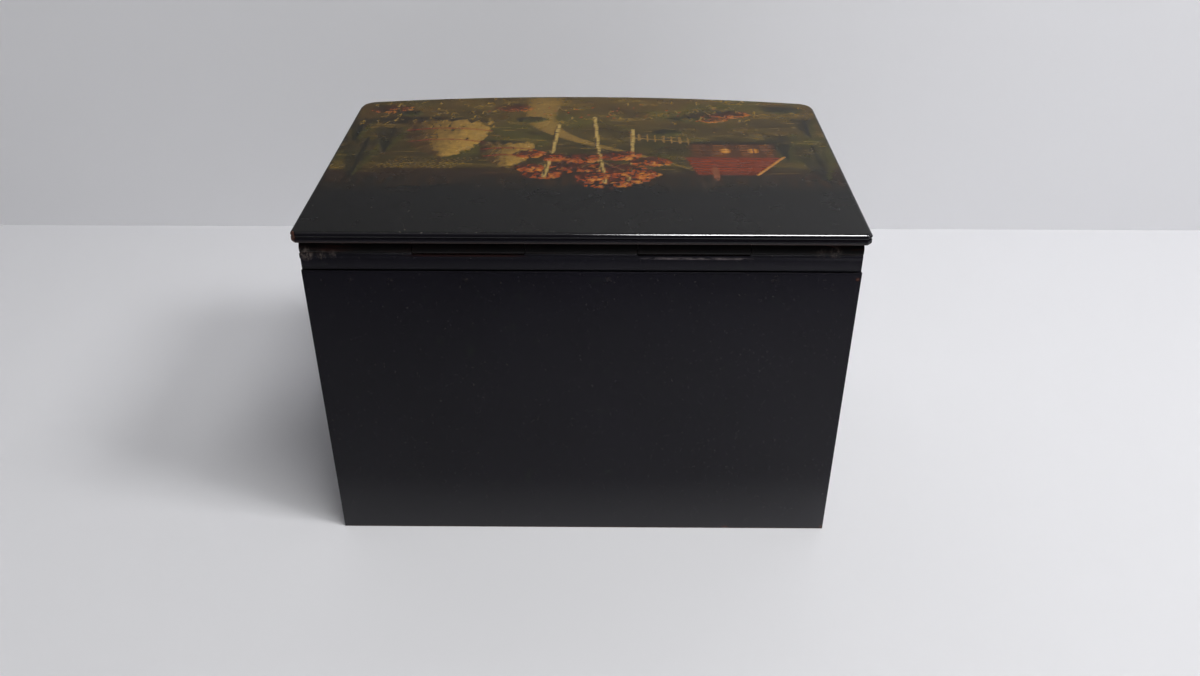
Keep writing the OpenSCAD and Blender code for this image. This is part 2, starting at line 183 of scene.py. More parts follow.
def add(material, kind, *values, out=None, **named):
    """Adds one node and gives its first socket, or the one called out. A second word in kind is its
    operation or its type. Inputs come in order, or by name with a capital letter, as values or as
    sockets to link. A name in small letters is a setting. A noise's Scale of 1000 / 5 is 5 mm across."""
    tree = material.node_tree
    kind, _, mode = kind.partition(" ")
    made = tree.nodes.new("ShaderNode" + kind)
    if mode:
        setattr(made, "data_type" if kind == "Mix" else "operation", mode)
    settings = {key: value for key, value in named.items() if key.islower()}
    for key, value in settings.items():
        setattr(made, key, value)
    in_order = [socket for socket in made.inputs if socket.enabled]
    pairs = list(zip(in_order, values))
    pairs += [(made.inputs[key.replace("_", " ")], named[key]) for key in named if key not in settings]
    for socket, value in pairs:
        if isinstance(value, bpy.types.NodeSocket):
            tree.links.new(value, socket)
        else:
            socket.default_value = value
    if out:
        return made.outputs[out]
    return next((socket for socket in made.outputs if socket.enabled), None)


def blank(name):
    """A material with only its output."""
    material = bpy.data.materials.new(name)
    material.use_nodes = True
    material.node_tree.nodes.clear()
    return material


def near_point(m, place, point, inner, outer):
    """One at a point and nought past the outer distance."""
    away = add(m, "VectorMath DISTANCE", place, point)
    return add(m, "MapRange", away, inner, outer, 1.0, 0.0)


def within(m, value, low, high, soft):
    """One between two limits, with soft ends."""
    return add(
        m, "Math MULTIPLY", add(m, "MapRange", value, low - soft, low + soft),
        add(m, "MapRange", value, high - soft, high + soft, 1.0, 0.0),
    )


# Marks on the back, by x and z: nail heads under the lacquer, then chips with their size, rubbed places
# at the barrel's ends with their size and strength, and the run of painted highlight on worn lacquer
# and the rusty run on the strip's upper edge, from x to x
NAIL_MARKS = [(0.0923, 0.1302), (0.0765, 0.1302), (0.0464, 0.1302), (-0.0099, 0.1302), (-0.0757, 0.1302)]
CHIPS = [(-0.1087, 0.1315, 0.0012), (-0.065, 0.0004, 0.0022), (-0.110, 0.001, 0.0024)]
RUBBED = [(0.1070, 0.1417, 0.0036, 0.75), (0.1010, 0.1416, 0.0026, 0.4), (0.0965, 0.1417, 0.0022, 0.4),
          (-0.0930, 0.1428, 0.0026, 0.28), (-0.0985, 0.1430, 0.0030, 0.36)]
GLINT_ON_WORN_RUN = (-0.064, -0.026)
RUSTY_RUN = (0.024, 0.066)


def rubbed_places(m, place, colour):
    """Grey-brown places where fingers and the lid have rubbed through the lacquer."""
    drawn = add(m, "Mapping", place, Scale=(1.0, 1.0, 0.5))
    ragged = add(
        m, "MapRange", add(m, "TexNoise", drawn, Scale=1000 / 0.8, Detail=4, Roughness=0.65), 0.42, 0.66
    )
    for mark_x, mark_z, size, strength in RUBBED:
        rub = near_point(m, place, (mark_x, back_y, mark_z), 0.0, size)
        rub = add(m, "Math MULTIPLY", add(m, "Math MULTIPLY", rub, ragged), strength)
        colour = add(m, "Mix RGBA", rub, colour, linear("#94857b"))
    return colour


def black_lacquer(name):
    """Lampblack oil lacquer over papier-mache, stoved in thin coats and rubbed to a gloss.
    The eye sees a near black with a clear but slightly soft reflection, faint waves where it was
    rubbed, dust under the gloss, and brown board where edges have worn through."""
    m = blank(name)
    place = add(m, "TexCoord", out="Object")
    x, y, z = [add(m, "SeparateXYZ", place, out=axis) for axis in "XYZ"]
    cloud = add(m, "TexNoise", place, Scale=1000 / 45, Detail=4)
    colour = add(m, "Mix RGBA", cloud, linear("#0d0c12"), linear("#16141d"))
    grain = add(
        m, "MapRange", add(m, "TexNoise", place, Scale=1000 / 1.8, Detail=3, Roughness=0.6), 0.35, 0.75,
        0.0, 0.16,
    )
    colour = add(m, "Mix RGBA", grain, colour, linear("#2b2833"))
    dust = add(m, "MapRange", add(m, "TexNoise", place, Scale=1000 / 0.9, Detail=1), 0.725, 0.79)
    colour = add(m, "Mix RGBA", add(m, "Math MULTIPLY", dust, 0.4), colour, linear("#5a564e"))
    stain = add(m, "MapRange", add(m, "TexNoise", place, Scale=1000 / 7), 0.66, 0.8)
    colour = add(m, "Mix RGBA", add(m, "Math MULTIPLY", stain, 0.10), colour, linear("#3a4a30"))
    smear = add(m, "TexNoise", place, Scale=1000 / 16, Detail=4, Roughness=0.6)
    rough = add(m, "MapRange", smear, 0.3, 0.75, 0.13, 0.21)
    # Waves from rubbing down, and a finer unevenness of the coats
    wave = add(m, "TexNoise", place, Scale=1000 / 22)
    peel = add(m, "TexNoise", place, Scale=1000 / 2.2)
    height = add(m, "Math ADD", wave, add(m, "Math MULTIPLY", peel, 0.06))
    # Brown board at the foot and in the chips
    ragged = add(m, "TexNoise", place, Scale=1000 / 1.6, Detail=3, Roughness=0.6)
    foot = add(
        m, "MapRange", add(m, "Math ADD", z, add(m, "Math MULTIPLY", ragged, 0.0012)), 0.0006, 0.0013,
        1.0, 0.0,
    )
    worn = add(m, "Math MULTIPLY", foot, 0.8)
    for mark_x, mark_z, size in CHIPS:
        chip = near_point(m, place, (mark_x, back_y, mark_z), size * 0.3, size)
        worn = add(
            m, "Math MAXIMUM", worn, add(m, "Math MULTIPLY", chip, add(m, "MapRange", ragged, 0.3, 0.6))
        )
    colour = add(m, "Mix RGBA", worn, colour, linear("#4f2a1c"))
    # A dent over each nail head, with a broken grey rim
    broken = add(
        m, "MapRange", add(m, "TexNoise", place, Scale=1000 / 0.7, Detail=3, Roughness=0.6), 0.50, 0.66
    )
    dents = None
    for mark_x, mark_z in NAIL_MARKS:
        dent = near_point(m, place, (mark_x, back_y, mark_z), 0.0003, 0.0010)
        rim = near_point(m, place, (mark_x - 0.0006, back_y, mark_z + 0.0004), 0.0006, 0.0020)
        rim = add(m, "Math MULTIPLY", add(m, "Math MULTIPLY", rim, broken), 0.4)
        colour = add(m, "Mix RGBA", rim, colour, linear("#4c4541"))
        height = add(m, "Math SUBTRACT", height, add(m, "Math MULTIPLY", dent, 0.5))
        dents = dent if dents is None else add(m, "Math MAXIMUM", dents, dent)
    # The strip's upper edge, with a painted highlight on worn lacquer along one stretch and rust on
    # another, and painted shade as lost gloss in the corners above and below it
    behind = add(m, "MapRange", y, back_y - 0.003, back_y - 0.0025)
    # Painted highlight, partly worn lacquer: a pale grey line along one stretch of the strip's upper edge
    run = add(
        m, "Math MULTIPLY", within(m, x, *GLINT_ON_WORN_RUN, 0.004),
        within(m, z, ledge_z - 0.0002, ledge_z + 0.0006, 0.0002),
    )
    run = add(m, "Math MULTIPLY", run, behind)
    drawn = add(m, "Mapping", place, Scale=(0.3, 1.0, 1.6))
    run = add(
        m, "Math MULTIPLY", run,
        add(
            m, "MapRange", add(m, "TexNoise", drawn, Scale=1000 / 1.3, Detail=4, Roughness=0.65), 0.38,
            0.62, 0.0, 0.7,
        ),
    )
    colour = add(m, "Mix RGBA", run, colour, linear("#83797a"))
    rust = add(
        m, "Math MULTIPLY", within(m, x, *RUSTY_RUN, 0.004),
        within(m, z, ledge_z + 0.0006, ledge_z + 0.0014, 0.0001),
    )
    rust = add(m, "Math MULTIPLY", add(m, "Math MULTIPLY", rust, 0.6), behind)
    colour = add(m, "Mix RGBA", rust, colour, linear("#2e140d"))
    colour = rubbed_places(m, place, colour)
    # Painted shade: the corners above and below the strip lose gloss and gain roughness so they read dark,
    # as do the nail dents
    groove_shade_and_dents = add(
        m, "Math MAXIMUM", within(m, z, strip_low.z - 0.0007, strip_low.z + 0.0013, 0.0004),
        within(m, z, ledge_z + 0.0008, ledge_z + 0.003, 0.0004),
    )
    groove_shade_and_dents = add(m, "Math MULTIPLY", groove_shade_and_dents, behind)
    groove_shade_and_dents = add(m, "Math MAXIMUM", groove_shade_and_dents, dents)
    rough = add(
        m, "Math MAXIMUM", rough, add(m, "Math MULTIPLY", add(m, "Math MAXIMUM", worn, groove_shade_and_dents), 0.5)
    )
    gloss = add(m, "MapRange", groove_shade_and_dents, 0.0, 1.0, 0.5, 0.15)
    normal = add(m, "Bump", Height=height, Strength=0.35, Distance=0.00022)
    lacquer = add(
        m, "BsdfPrincipled", Base_Color=colour, Roughness=rough, Specular_IOR_Level=gloss,
        Normal=normal, IOR=1.5,
    )
    add(m, "OutputMaterial", Surface=lacquer)
    return m


def red_lacquer(name):
    """Iron-red oil lacquer, as on the inside. The eye sees a deep, cloudy brown red that is duller
    than the black, with dark specks and soft waves."""
    m = blank(name)
    place = add(m, "TexCoord", out="Object")
    cloud = add(m, "TexNoise", place, Scale=1000 / 30, Detail=5)
    colour = add(m, "Mix RGBA", cloud, linear("#3f140d"), linear("#5c2215"))
    speck = add(m, "MapRange", add(m, "TexNoise", place, Scale=1000 / 1.2, Detail=1), 0.70, 0.78)
    colour = add(m, "Mix RGBA", add(m, "Math MULTIPLY", speck, 0.6), colour, linear("#1c0d0a"))
    rough = add(m, "MapRange", add(m, "TexNoise", place, Scale=1000 / 12, Detail=4), 0.3, 0.7, 0.28, 0.42)
    height = add(
        m, "Math ADD", add(m, "TexNoise", place, Scale=1000 / 14, Detail=3),
        add(m, "Math MULTIPLY", add(m, "TexNoise", place, Scale=1000 / 1.6), 0.1),
    )
    normal = add(m, "Bump", Height=height, Strength=0.4, Distance=0.0003)
    lacquer = add(m, "BsdfPrincipled", Base_Color=colour, Roughness=rough, Normal=normal, IOR=1.5)
    add(m, "OutputMaterial", Surface=lacquer)
    return m


black = black_lacquer("black_lacquer_on_papier_mache")
red = red_lacquer("red_lacquer_inside")

walls = bowed_block("walls", 0, CORNER_R, back_y, walls_low.z, walls_high.z)
walls.data.materials.append(black)
hollow = bowed_block("hollow", WALL, INNER_CORNER_R, back_y - WALL, -PAST, walls_high.z + PAST)
hollow.data.materials.append(red)
cut(walls, hollow)
rebate = half_w - panel_high.x
seat = bowed_block("panel_seat", rebate, INNER_CORNER_R, back_y - rebate, -PAST, panel_high.z)
cut(walls, seat)
cut(walls, block(
    "barrel_seat", (-half_w - PAST, back_y - WALL, ledge_z),
    (half_w + PAST, back_y + PAST, walls_high.z + PAST),
))
cut(walls, block(
    "strip_seat", (-half_w - PAST, strip_low.y, strip_low.z), (half_w + PAST, back_y + PAST, ledge_z + PAST)
))
cut(walls, block(
    "leaf_seat", (leaf_low.x, back_y - LEAF_SEAT[0], leaf_low.z),
    (leaf_high.x, back_y - LEAF_SEAT[1], ledge_z + PAST),
))
cut(walls, block("plate_seat", plate_low + Vector((0, FLANGE_D, 0)), plate_high + Vector((0, BOW, PAST))))
cut(walls, block("case_seat", case_low, case_high + Vector((0, PAST, PAST))))
cut(walls, block(
    "flange_seat", (plate_low.x, case_low.y, case_high.z), (plate_high.x, plate_high.y, walls_high.z + PAST)
))

# The keyhole: a round hole with a slot below it for the key's bit, cut through the front wall
# behind the brass plate.
KEY_DROP = 0.0252
KEY_R = 0.0019
KEY_SLOT = (0.002, 0.0058)
key_z = walls_high.z - KEY_DROP


def keyhole_cutter(name, low_y, high_y):
    """A solid in the keyhole's shape."""
    deselect()
    bpy.ops.mesh.primitive_cylinder_add(
        vertices=32, radius=KEY_R, depth=high_y - low_y,
        location=(0, (low_y + high_y) / 2, key_z), rotation=(pi / 2, 0, 0),
    )
    hole = added(name)
    slot_w, slot_h = KEY_SLOT
    slot = block(name + "_slot", (-slot_w / 2, low_y, key_z - slot_h), (slot_w / 2, high_y, key_z))
    modify(hole, "BOOLEAN", operation="UNION", object=slot, solver="EXACT")
    bpy.data.objects.remove(slot)
    return hole


cut(walls, keyhole_cutter("keyhole", walls_low.y - PAST, case_low.y + PAST))
rounded(walls, EDGE_R)
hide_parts("body_walls")
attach(walls, "box")

# The bottom panel: flat board glued into the rebate at the walls' foot. It's lacquered red on its
# upper side and black below, and its edges are just broken.
panel = bowed_block("base_panel", rebate, INNER_CORNER_R, back_y - rebate, panel_low.z, panel_high.z)
panel.data.materials.append(black)
panel.data.materials.append(red)
pick(panel, "FACE", lambda corners, normal: normal.z > 0.5)
panel.active_material_index = 1
bpy.ops.object.material_slot_assign()
rounded(panel, EDGE_R / 3)
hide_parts("bottom_panel")
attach(panel, "box")

# The lid: a flat papier-mache plate with a fillet, a groove and a rounded upper edge. Its top is a
# painted landscape under varnish that has yellowed and crackled.
lid_low, lid_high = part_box("lid_plate")
PITCH = 0.00068
BEAD_R = 0.0014
RUBBED_R = 0.0007
lid_inset = half_w - lid_high.x
lid_corner_r = CORNER_R - lid_inset
flat_half = lid_high.x - BEAD_R
flat_back = lid_high.y - BEAD_R
flat_inset = lid_inset + BEAD_R
flat_corner_r = lid_corner_r - BEAD_R
corner_x = flat_half - flat_corner_r
corner_y = bow_centre_y - sqrt((bow_radius - flat_inset - flat_corner_r) ** 2 - corner_x**2)
touch_x = corner_x * (bow_radius - flat_inset) / (bow_radius - flat_inset - flat_corner_r)
columns = int(2 * flat_half / PITCH)
rows = int((flat_back - bow_y(0, flat_inset)) / PITCH)


def lid_front(x):
    """Front edge of the lid's flat top: the bow, then the round corners."""
    side = np.maximum(flat_corner_r**2 - (np.abs(x) - corner_x) ** 2, 0.0)
    bow = bow_centre_y - np.sqrt((bow_radius - flat_inset) ** 2 - x * x)
    return np.where(np.abs(x) < touch_x, bow, corner_y - np.sqrt(side))


def lid_back(x):
    """Back edge of the lid's flat top, straight with its corners rubbed round."""
    side = np.maximum(RUBBED_R**2 - np.maximum(np.abs(x) - flat_half + RUBBED_R, 0.0) ** 2, 0.0)
    return flat_back - RUBBED_R + np.sqrt(side)


deselect()
bpy.ops.mesh.primitive_grid_add(x_subdivisions=columns, y_subdivisions=rows, size=2, location=(0, 0, 0))
lid = added("lid")
spot = np.zeros(len(lid.data.vertices) * 3)
lid.data.vertices.foreach_get("co", spot)
spot = spot.reshape(-1, 3)
spot[:, 0] *= flat_half
depth_share = (1 - spot[:, 1]) / 2
spot[:, 1] = lid_back(spot[:, 0]) - depth_share * (lid_back(spot[:, 0]) - lid_front(spot[:, 0]))
spot[:, 2] = lid_high.z
lid.data.vertices.foreach_set("co", spot.ravel())


def outward(p):
    """The plan's outward direction at a point of the lid's edge: away from the nearest corner's centre,
    or square to the straight sides, or away from the bow's centre."""
    sign = 1.0 if p.x > 0 else -1.0
    back_corner = Vector((sign * (flat_half - RUBBED_R), flat_back - RUBBED_R))
    if p.y > back_corner.y and abs(p.x) > abs(back_corner.x):
        return (p.xy - back_corner).normalized()
    if p.y > back_corner.y:
        return Vector((0.0, 1.0))
    if p.y > corner_y:
        return Vector((sign, 0.0))
    if abs(p.x) > touch_x:
        return (p.xy - Vector((sign * corner_x, corner_y))).normalized()
    return (p.xy - Vector((0.0, bow_centre_y))).normalized()


# The edge's section, from the flat top down and round to the underside, as steps out and down. The
# sharp edges beside the quirk and at the foot are eased
EASED = 0.0001
FILLET_H = 0.0021
QUIRK_H = 0.0004
QUIRK_D = 0.0005
UNDER_RIM = 0.0076
bead = [(BEAD_R * sin(a), BEAD_R * (1 - cos(a))) for a in np.radians([18, 36, 54, 72, 90])]
lid_t = lid_high.z - lid_low.z
quirk_top = lid_t - FILLET_H - QUIRK_H
section = bead + [
    (BEAD_R, quirk_top - 3 * EASED), (BEAD_R - EASED, quirk_top - EASED), (BEAD_R - QUIRK_D, quirk_top),
    (BEAD_R - QUIRK_D, quirk_top + QUIRK_H), (BEAD_R - EASED, quirk_top + QUIRK_H + EASED),
    (BEAD_R, quirk_top + QUIRK_H + 3 * EASED), (BEAD_R, lid_t - 4 * EASED), (BEAD_R - EASED, lid_t - EASED),
    (BEAD_R - 4 * EASED, lid_t), (BEAD_R - UNDER_RIM, lid_t),
]
pick(lid, "VERT", lambda p: True)
bpy.ops.mesh.select_mode(type="EDGE")
bpy.ops.mesh.region_to_loop()
went_out, went_down = 0.0, 0.0
for out, down in section:
    bpy.ops.mesh.extrude_edges_move()
    bpy.ops.object.mode_set(mode="OBJECT")
    for v in lid.data.vertices:
        if v.select:
            step = outward(v.co)
            v.co.x += step.x * (out - went_out)
            v.co.y += step.y * (out - went_out)
            v.co.z -= down - went_down
    bpy.ops.object.mode_set(mode="EDIT")
    went_out, went_down = out, down
bpy.ops.mesh.edge_face_add()
bpy.ops.mesh.select_all(action="SELECT")
bpy.ops.mesh.normals_make_consistent(inside=False)
bpy.ops.object.mode_set(mode="OBJECT")
bpy.ops.object.shade_smooth_by_angle(angle=radians(35))
deselect()

# The picture: a generic dusk landscape, upright as seen from the front, laid on in thin strokes.
# Places and sizes are millimetres on the lid, x to the right and y from the front to the hinge.
grid_shape = (rows + 1, columns + 1)
grid_x = (spot[:, 0] * 1000).reshape(grid_shape)
grid_y = (spot[:, 1] * 1000).reshape(grid_shape)
canvas = np.zeros(grid_shape + (3,))
hand = np.random.default_rng(7)


def tint(hex_colour):
    """A hex colour as paint on the canvas."""
    return np.array(linear(hex_colour)[:3])


def smooth(value, low, high):
    """Nought at low and one at high, with an easy start and end."""
    share = np.clip((value - low) / (high - low), 0, 1)
    return share * share * (3 - 2 * share)


def wash(share, hex_colour):
    """Lays a colour over the whole canvas, as thick as share says."""
    canvas[:] += (tint(hex_colour) - canvas) * np.clip(share, 0, 1)[..., None]


def dab(x, y, length, width, turn, colour, load=1.0):
    """One touch of the brush: an ellipse with a soft rim, turned by an angle in degrees."""
    cols = np.flatnonzero(np.abs(grid_x[0] - x) < max(length, width) + 1)
    if not len(cols):
        return
    part = slice(cols[0], cols[-1] + 1)
    gx, gy = grid_x[:, part] - x, grid_y[:, part] - y
    c, s = cos(radians(turn)), sin(radians(turn))
    along, across = (gx * c + gy * s) / length, (gy * c - gx * s) / width
    share = np.clip((1 - along**2 - across**2) * 1.6, 0, 1) * load
    canvas[:, part] += (colour - canvas[:, part]) * share[..., None]


def patchy(scale, seed):
    """Slow unevenness of a hand-laid ground, drawn out sideways."""
    rng = np.random.default_rng(seed)
    total = np.zeros(grid_shape)
    for k in range(1, 7):
        turn, phase = rng.normal(0, 0.35), rng.uniform(0, 2 * pi, 2)
        u = (grid_x * cos(turn) + grid_y * sin(turn)) * k / scale
        v = (grid_y * cos(turn) - grid_x * sin(turn)) * k / scale * 2.6
        total += np.sin(u + phase[0]) * np.sin(v + phase[1]) / k
    return total


def strokes(points, width, colour, load=0.9):
    """A line of dabs along straight runs."""
    for (x0, y0), (x1, y1) in zip(points, points[1:]):
        run = max(1, int(np.hypot(x1 - x0, y1 - y0) / (width * 0.7)))
        turn = np.degrees(np.arctan2(y1 - y0, x1 - x0))
        for i in range(run + 1):
            t = i / run
            dab(x0 + (x1 - x0) * t, y0 + (y1 - y0) * t, width * 1.4, width * 0.7, turn, colour, load)


def clump(x, y, w, h, count, hexes, size):
    """A rounded mass of leaves: dark touches all over it, then lighter ones up and to the left."""
    dab(x, y, w * 1.05, h * 1.05, 0, tint(hexes[0]), 0.8)
    for i in range(count):
        r, a = sqrt(hand.uniform(0, 1)), hand.uniform(0, 2 * pi)
        dx, dy = r * cos(a), r * sin(a)
        lit = np.clip(0.5 + 0.42 * (dy * 0.8 - dx * 0.5) + hand.normal(0, 0.17), 0, 0.999)
        colour = tint(hexes[int(lit * len(hexes))]) * hand.uniform(0.8, 1.2)
        length, turn = size * hand.uniform(0.6, 1.4), hand.uniform(0, 180)
        dab(x + dx * w, y + dy * h, length, size * 0.5, turn, colour, 0.7)


uneven = patchy(30, 3)
streaks = patchy(11, 5)
wash(np.ones(grid_shape), "#1c170b")
wash(smooth(grid_y, 30, -10), "#3b3510")
wash(smooth(grid_y, -6, -66) * (0.62 + 0.16 * uneven), "#66511f")
wash(smooth(uneven, -0.1, 1.0) * smooth(grid_y, 28, -8) * 0.62, "#4a4f14")
wash(smooth(streaks, 0.1, 1.3) * smooth(grid_y, 20, -30) * 0.5, "#7c6a2e")
wash(smooth(-streaks, 0.2, 1.3) * smooth(grid_y, 26, -20) * 0.5, "#2a2109")
wash(smooth(grid_x + 16 * uneven, 30, 105) * smooth(grid_y, 36, -30) * 0.4, "#3f2b10")
wash(np.exp(-((grid_y - 20 - 3 * uneven) / 8) ** 2) * 0.7, "#2f1d0d")
wash(np.exp(-((grid_y - 11 - 2 * streaks) / 2.6) ** 2) * 0.5, "#6a5a20")
wash(smooth(grid_y + 3 * uneven, 27, 40), "#0b0c0f")
wash(smooth(streaks, 0.4, 1.4) * smooth(grid_y, 60, 34) * smooth(grid_y, 30, 36) * 0.6, "#1d1a17")
for _ in range(620):
    y = hand.uniform(-76, 20)
    shade = ["#8a7434", "#4c4312", "#2c230a", "#6a5f1f", "#5c3f16"][hand.integers(5)]
    x, length, width = hand.uniform(-112, 112), hand.uniform(2, 11), hand.uniform(0.3, 0.8)
    dab(x, y, length, width, hand.normal(0, 5), tint(shade), 0.4)

# Far woods on the skyline, a field in stubble, and a pale track that winds back from the front
for _ in range(300):
    x = hand.uniform(-112, 112)
    h = 2.5 + 3.0 * abs(sin(x / 19.0 + 0.6)) + hand.uniform(0, 1.5)
    shade = tint(["#17140c", "#221a0e", "#33230f"][hand.integers(3)])
    dab(x, 25 + h / 2, 1.3, h, hand.normal(0, 6), shade, 0.75)
for i in range(130):
    t = i / 129
    x = 20 - 52 * t + 15 * sin(t * 4.6)
    shade = tint("#9a8044") * (0.85 + 0.3 * (i % 2))
    dab(x, -76 + 92 * t**0.7, 10 * (1 - t) ** 1.3 + 1.0, 1.7 * (1 - t) + 0.35, 5, shade, 0.32)
for row in range(7):
    y = 3.5 + row * 1.7
    for i in range(14):
        dab(68 + row * 1.6 + i * 2.6 - 20, y, 1.0, 0.35, 20, tint("#8f7a3e"), 0.6)


def fir(x, y, h):
    """A fir: a dark trunk, and boughs in drooping touches that are greener on the lit side."""
    strokes([(x, y), (x, y + h)], 1.0, tint("#120f08"))
    tiers = int(h / 2.1)
    for i in range(tiers):
        t = i / tiers
        reach = (h * 0.27 * (1 - t) + 0.8) * hand.uniform(0.8, 1.15)
        level = y + h * (0.10 + 0.9 * t)
        for side in (-1, 1):
            for k in range(4):
                out = reach * (k + 0.6) / 4
                green = tint("#3a3d12") if side < 0 and k > 1 else tint("#14160c")
                green = green * hand.uniform(0.7, 1.3)
                dab(x + side * out, level - out * 0.42, 1.5, 0.8, -side * 32, green, 0.85)


for x, y, h in [(-103, -12, 40), (-90, -26, 30), (100, -20, 44), (90, -34, 30), (106, -44, 26),
                (-104, -46, 22)]:
    fir(x, y, h)


def hut(x, y, w, h):
    """A log hut seen end-on, with a steep rust-coloured roof and lit windows in ochre frames."""
    dab(x + w * 0.55, y - 1.0, w * 0.75, 2.6, 0, tint("#140f07"), 0.85)
    for i in range(8):
        level = y + h * (i + 0.5) / 8
        strokes([(x, level), (x + w, level)], h / 9, tint("#4a2c12") * (0.75 + 0.5 * (i % 2)), 0.95)
        strokes([(x, level + h / 20), (x + w, level + h / 20)], 0.4, tint("#8a5a2a"), 0.5)
    rise = h * 1.15
    for i in range(30):
        t = i / 29
        start, end = x - 3.5 + t * w * 0.36, x + w + 3.5 - t * w * 0.12
        shade = tint("#74300f") * hand.uniform(0.55, 1.35)
        strokes([(start, y + h + t * rise), (end, y + h + t * rise)], 0.9, shade, 0.9)
    strokes([(x - 4, y + h - 0.4), (x - 3.5 + w * 0.36, y + h + rise)], 1.0, tint("#b98a48"), 0.85)
    for window_x in (x + w * 0.24, x + w * 0.6):
        dab(window_x, y + h * 0.5, 2.9, 3.3, 0, tint("#a9762c"))
        dab(window_x, y + h * 0.5, 1.8, 2.3, 0, tint("#d8a048"))
        strokes([(window_x, y + h * 0.28), (window_x, y + h * 0.72)], 0.4, tint("#5a2c12"))
        strokes([(window_x - 2, y + h * 0.5), (window_x + 2, y + h * 0.5)], 0.4, tint("#5a2c12"))
    strokes([(x + w * 0.78, y + h + rise * 0.7), (x + w * 0.78, y + h + rise * 1.2)], 2.4, tint("#7a4a34"))
    for i in range(14):
        t = i / 13
        smoke_x, smoke_y = x + w * 0.78 + 6 * t + 2 * sin(4 * t), y + h + rise * 1.25 + t * 15
        dab(smoke_x, smoke_y, 1.2 + 3 * t, 1.4, 20, tint("#3a342c"), 0.3 * (1 - t))


hut(-84, -14, 35, 16)


def haystack(x, y, w, h, count):
    """A stack of cut straw, lit from the left, with two bands round it and a pole."""
    dab(x + w * 0.32, y - 0.5, w * 0.78, h * 0.13, 0, tint("#130f06"), 0.85)
    strokes([(x + 0.5, y + h * 0.9), (x, y + h * 1.2)], 0.9, tint("#3c2611"))
    for i in range(count):
        t = (i / count) ** 0.85
        spread = w / 2 * sqrt(1 - t**2.3) * (1.0 - 0.10 * t)
        side = hand.uniform(-1, 1)
        lit = np.clip(0.60 - side * 0.62 + hand.normal(0, 0.15), 0, 1)
        colour = tint("#38240c") * (1 - lit) + tint("#b4964e") * lit
        length, width = (3.2, 1.5) if i % 3 else (hand.uniform(1.6, 3.4), 0.4)
        turn = 90 - side * 30 * t + hand.normal(0, 7)
        shade = colour * (0.8 if i % 3 else hand.uniform(0.75, 1.3))
        dab(x + side * spread * (0.93 if i % 3 else 1.0), y + t * h * 0.96, length, width, turn, shade, 0.7)
    for level, reach in ((0.30, 0.47), (0.62, 0.40)):
        steps = (-1, -0.7, -0.3, 0.1, 0.5, 0.96)
        arc = [(x + w * reach * s, y + h * (level - 0.08 * (1 - s * s))) for s in steps]
        strokes(arc, 0.75, tint("#7c2a14"), 0.75)


haystack(35, -14, 26, 25, 300)
haystack(64, -42, 43, 43, 640)


def birch(x, y, h, lean, crown):
    """A birch: a pale trunk with dark notches and a shaded side, and a crown turned rust and ochre.
    Each clump of the crown has its height and size as shares of h, and its way off the trunk."""
    top = (x + lean, y + h)
    middle = (x + lean * 0.35, y + h * 0.5)
    rust = ["#1f0f06", "#4a1f0b", "#7c3511", "#a9561d", "#c98a3c"]
    for level, off, share in crown[: len(crown) // 2]:
        clump(x + lean * level + off, y + h * level, h * share, h * share * 0.62, 90, rust, 1.5)
    strokes([(x, y), middle, top], 1.7, tint("#b8a56c"))
    shaded = [(x + 0.8, y), (middle[0] + 0.7, middle[1]), (top[0] + 0.4, top[1])]
    strokes(shaded, 0.6, tint("#4c3a1c"), 0.75)
    for _ in range(12):
        t = hand.uniform(0.03, 0.75)
        notch_x, turn = x + lean * t + hand.normal(0, 0.5), hand.normal(0, 14)
        dab(notch_x, y + h * t, 1.0, 0.38, turn, tint("#1d150b"), 0.9)
    for level, off, share in crown:
        bough = [(x + lean * level * 0.8, y + h * level * 0.85), (x + lean * level + off, y + h * level)]
        strokes(bough, 0.6, tint("#6a5a38"), 0.7)
    for level, off, share in crown[len(crown) // 2:]:
        clump(x + lean * level + off, y + h * level, h * share, h * share * 0.6, 110, rust, 1.4)


LEFT_CROWN = [(0.98, 0, 0.17), (0.78, 8, 0.15), (0.66, -9, 0.16), (0.9, -6, 0.13), (0.55, 7, 0.12)]
RIGHT_CROWN = [(0.97, 1, 0.15), (0.8, -8, 0.15), (0.86, 8, 0.12), (0.6, 9, 0.12), (0.66, -2, 0.11)]
MIDDLE_CROWN = [(1.0, 0, 0.16), (0.8, 9, 0.15), (0.84, -9, 0.14), (0.62, -10, 0.12), (0.66, 8, 0.12),
                (0.93, 5, 0.10)]
birch(-22, -30, 56, 3, LEFT_CROWN)
birch(13, -36, 58, 4, RIGHT_CROWN)
birch(-4, -46, 74, -5, MIDDLE_CROWN)

# The near ground: a fence, bushes, fallen leaves and tufts of dry grass
for i in range(8):
    strokes([(-47 + i * 3.7, -21 - i * 0.7), (-47 + i * 3.7, -14 - i * 0.7)], 0.75, tint("#8c7240"), 0.8)
strokes([(-48, -16), (-20, -21.5)], 0.6, tint("#8c7240"), 0.75)
strokes([(-48, -19), (-20, -24.5)], 0.5, tint("#6a5228"), 0.7)
bush = ["#140f06", "#33200b", "#5f2c0e", "#8f4a19", "#b97a34"]
sage = ["#0f0f06", "#22240c", "#3a3f12", "#5a5a20"]
for x, y, w, h in [(-58, -48, 12, 7), (-70, -52, 9, 5), (36, -60, 10, 5), (95, -58, 11, 6)]:
    clump(x, y, w, h, 130, bush, 1.3)
for x, y, w, h in [(-38, -28, 7, 4), (-48, -46, 8, 4), (26, -44, 8, 4), (-96, -58, 10, 5), (86, -52, 7, 4)]:
    clump(x, y, w, h, 80, sage, 1.2)
